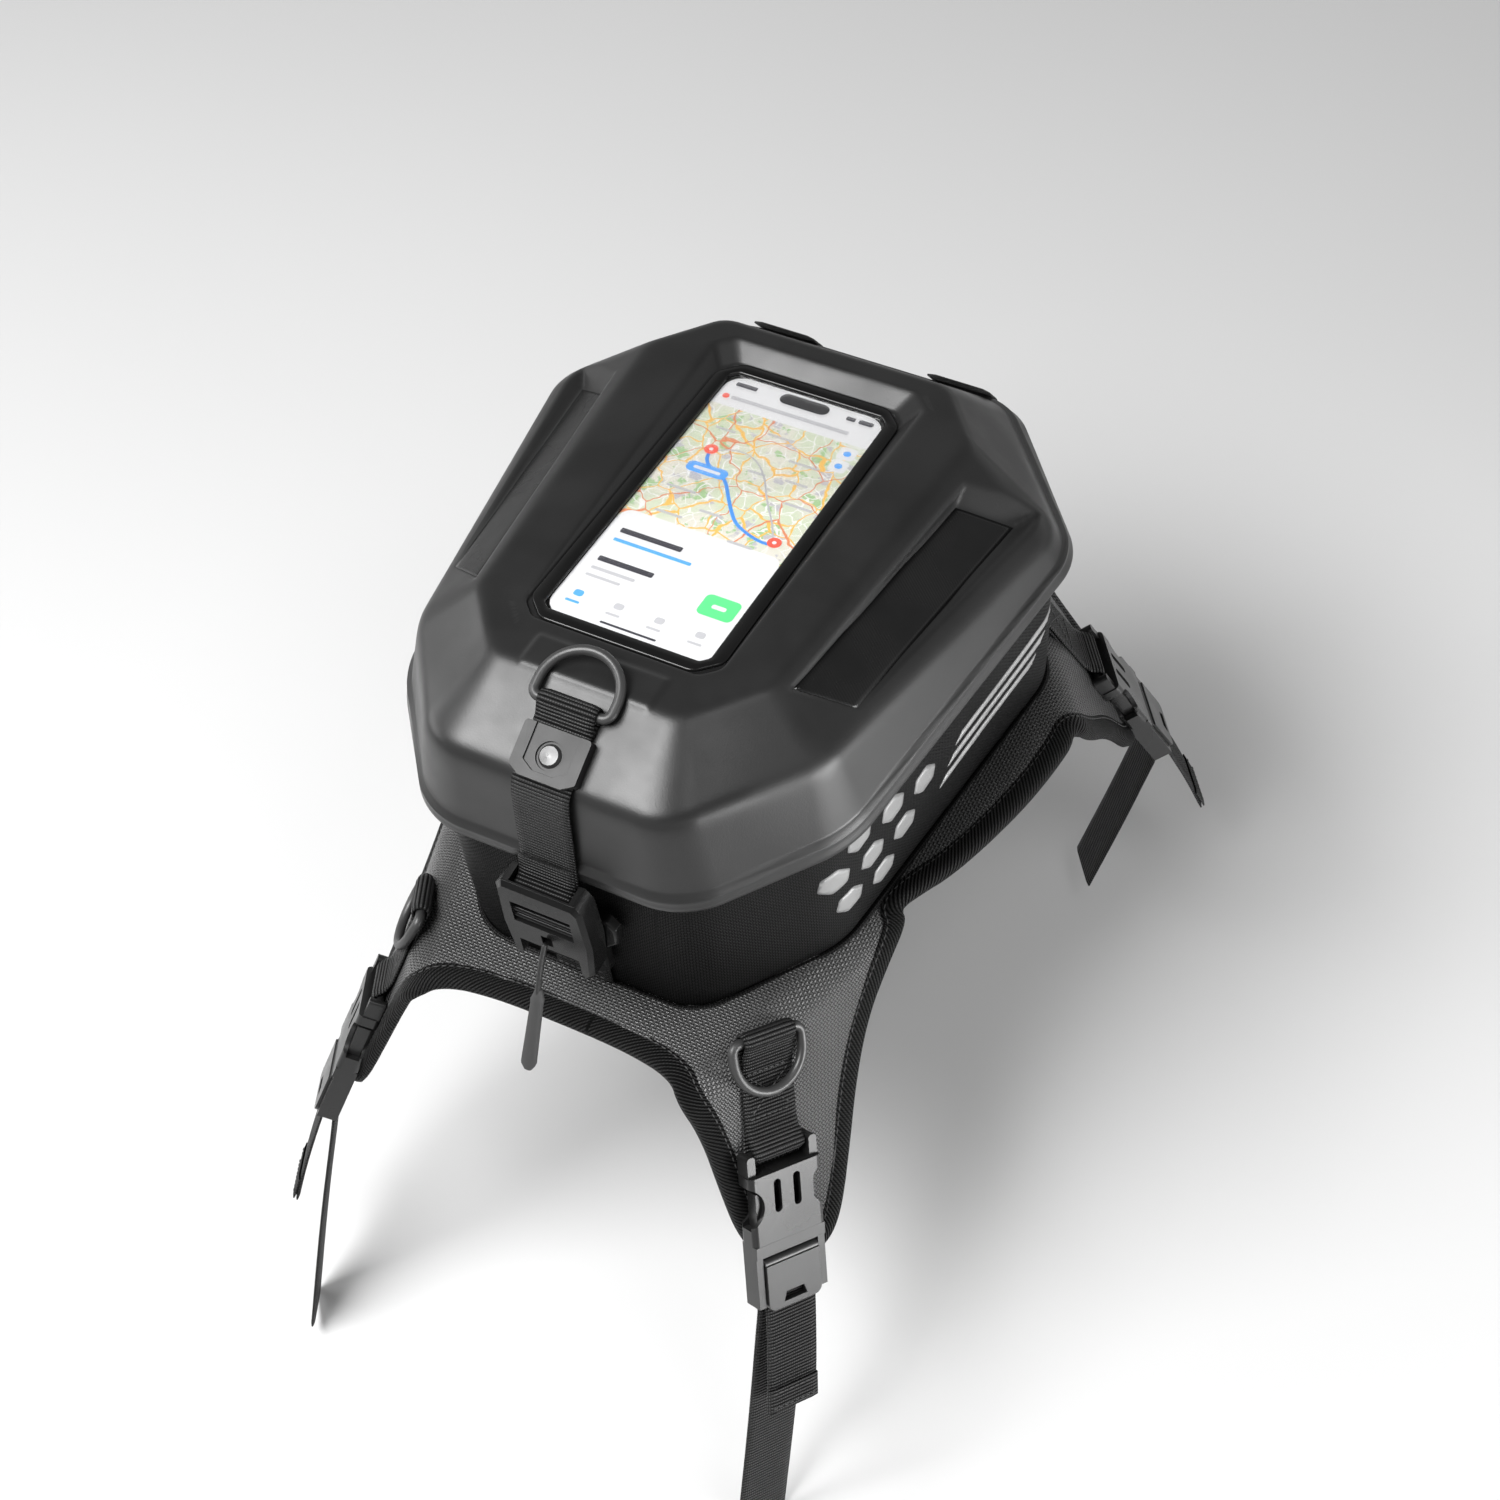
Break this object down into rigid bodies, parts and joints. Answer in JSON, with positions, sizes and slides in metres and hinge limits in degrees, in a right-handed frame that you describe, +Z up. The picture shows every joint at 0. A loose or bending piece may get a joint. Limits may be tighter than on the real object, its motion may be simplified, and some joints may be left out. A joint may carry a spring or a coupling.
{
  "type": "motorcycle tank bag",
  "caption": "Tank bag with a hinged moulded lid, phone window, soft body and a four-legged strap harness with side-release buckles.",
  "frame": {"origin": "middle of the grip pad's underside, where the bag rests on the tank", "axes": "+Z up, +Y towards the handlebars (hinge side), +X to the rider's right"},
  "size_m": [0.324, 0.4086, 0.3612],
  "materials": {
    "shell_eva": "moulded foam shell with a soft sheen",
    "body_fabric": "fine coated weave",
    "liner_fabric": "brushed lining",
    "binding_tape": "twill tape with one stitch line",
    "harness_fabric": "coated plain weave",
    "webbing": "ribbed 25 mm webbing",
    "buckle_plastic": "moulded, fine grain",
    "ring_metal": "dark plated wire",
    "grip_rubber": "non-slip pad",
    "board_plastic": "stiffening board",
    "reflective": "retroreflective film",
    "inlay_gloss": "glossy strip",
    "frame_gloss": "glossy window border",
    "window_film": "clear touch film",
    "phone_glass": null,
    "seal_rubber": "soft seal",
    "cord": "braided cord",
    "tab_rubber": "moulded pull tab"
  },
  "bodies": {
    "bag": {"bag_body": "body_fabric", "body_liner": "liner_fabric", "body_rim": "binding_tape", "floor_board": "board_plastic", "grip_pad": "grip_rubber", "harness_panel": "harness_fabric", "harness_binding": "binding_tape", "hex_patches_left": "reflective", "hex_patches_right": "reflective", "side_stripes_left": "reflective", "side_stripes_right": "reflective", "catch_webbing": "webbing", "catch_plate": "buckle_plastic", "hinge_tab_body_left": "harness_fabric", "hinge_tab_body_right": "harness_fabric", "anchor_webbing_rear_left": "webbing", "anchor_webbing_rear_right": "webbing", "anchor_webbing_front_left": "webbing", "anchor_webbing_front_right": "webbing", "buckle_socket_rear_left": "buckle_plastic", "buckle_socket_rear_right": "buckle_plastic", "buckle_socket_front_left": "buckle_plastic", "buckle_socket_front_right": "buckle_plastic"},
    "lid": {"lid_shell": "shell_eva", "window_frame": "frame_gloss", "window_film": "window_film", "phone": "phone_glass", "phone_pocket": "liner_fabric", "side_inlay_left": "inlay_gloss", "side_inlay_right": "inlay_gloss", "lid_seal": "seal_rubber", "ring_webbing": "webbing", "keeper_plate": "buckle_plastic", "keeper_rivet": "ring_metal", "closure_strap": "webbing", "hinge_tab_lid_left": "harness_fabric", "hinge_tab_lid_right": "harness_fabric"},
    "closure_buckle": {"closure_buckle": "buckle_plastic"},
    "pull_cord": {"pull_cord": "cord", "pull_tab": "tab_rubber"},
    "lid_dring": {"lid_dring": "ring_metal"},
    "pocket_flap": {"pocket_flap": "liner_fabric"},
    "dring_rear_left": {"dring_rear_left": "ring_metal"},
    "dring_rear_right": {"dring_rear_right": "ring_metal"},
    "plug_rear_left": {"buckle_plug_rear_left": "buckle_plastic", "strap_rear_left": "webbing"},
    "plug_rear_right": {"buckle_plug_rear_right": "buckle_plastic", "strap_rear_right": "webbing"},
    "plug_front_left": {"buckle_plug_front_left": "buckle_plastic", "strap_front_left": "webbing"},
    "plug_front_right": {"buckle_plug_front_right": "buckle_plastic", "strap_front_right": "webbing"},
    "lever_rear_left": {"cam_lever_rear_left": "buckle_plastic"},
    "lever_rear_right": {"cam_lever_rear_right": "buckle_plastic"},
    "lever_front_left": {"cam_lever_front_left": "buckle_plastic"},
    "lever_front_right": {"cam_lever_front_right": "buckle_plastic"}
  },
  "joints": [
    {"name": "lid_hinge", "type": "hinge", "parent": "bag", "child": "lid", "pos_m": [0, 0.146, 0.084], "axis": [-1, 0, 0], "range_deg": [0, 110]},
    {"name": "closure_buckle_swing", "type": "hinge", "parent": "lid", "child": "closure_buckle", "pos_m": [0, -0.1456, 0.081], "axis": [-1, 0, 0], "range_deg": [0, 60]},
    {"name": "pull_cord_swing", "type": "hinge", "parent": "closure_buckle", "child": "pull_cord", "pos_m": [0, -0.1535, 0.057], "axis": [-1, 0, 0], "range_deg": [-12, 80]},
    {"name": "lid_dring_swing", "type": "hinge", "parent": "lid", "child": "lid_dring", "pos_m": [0, -0.10669, 0.14978], "axis": [1, 0, 0], "range_deg": [0, 150]},
    {"name": "pocket_flap_hinge", "type": "hinge", "parent": "lid", "child": "pocket_flap", "pos_m": [-0.045, 0.00739, 0.12431], "axis": [0, 0.9911, -0.1333], "range_deg": [0, 80], "stiffness_Nm_per_rad": 0.5},
    {"name": "dring_rear_left_swing", "type": "hinge", "parent": "bag", "child": "dring_rear_left", "pos_m": [-0.07942, -0.13136, 0.00854], "axis": [-0.4589, 0.8108, -0.3634], "range_deg": [0, 115]},
    {"name": "dring_rear_right_swing", "type": "hinge", "parent": "bag", "child": "dring_rear_right", "pos_m": [0.07942, -0.13136, 0.00854], "axis": [-0.4589, -0.8108, 0.3634], "range_deg": [0, 115]},
    {"name": "plug_rear_left_slide", "type": "slide", "parent": "bag", "child": "plug_rear_left", "axis": [-0.2629, -0.5146, -0.8161], "range_m": [0, 0.024], "stiffness_N_per_m": 400},
    {"name": "plug_rear_right_slide", "type": "slide", "parent": "bag", "child": "plug_rear_right", "axis": [0.2629, -0.5146, -0.8161], "range_m": [0, 0.024], "stiffness_N_per_m": 400},
    {"name": "plug_front_left_slide", "type": "slide", "parent": "bag", "child": "plug_front_left", "axis": [-0.3875, 0.2143, -0.8966], "range_m": [0, 0.024], "stiffness_N_per_m": 400},
    {"name": "plug_front_right_slide", "type": "slide", "parent": "bag", "child": "plug_front_right", "axis": [0.3875, 0.2143, -0.8966], "range_m": [0, 0.024], "stiffness_N_per_m": 400},
    {"name": "cam_lever_rear_left_swing", "type": "hinge", "parent": "plug_rear_left", "child": "lever_rear_left", "pos_m": [-0.10732, -0.18099, -0.06697], "axis": [-0.4589, 0.8108, -0.3634], "range_deg": [0, 75]},
    {"name": "cam_lever_rear_right_swing", "type": "hinge", "parent": "plug_rear_right", "child": "lever_rear_right", "pos_m": [0.10732, -0.18099, -0.06697], "axis": [-0.4589, -0.8108, 0.3634], "range_deg": [0, 75]},
    {"name": "cam_lever_front_left_swing", "type": "hinge", "parent": "plug_front_left", "child": "lever_front_left", "pos_m": [-0.13009, 0.13145, -0.07105], "axis": [0.5901, 0.8049, -0.0627], "range_deg": [0, 75]},
    {"name": "cam_lever_front_right_swing", "type": "hinge", "parent": "plug_front_right", "child": "lever_front_right", "pos_m": [0.13009, 0.13145, -0.07105], "axis": [0.5901, -0.8049, 0.0627], "range_deg": [0, 75]}
  ]
}
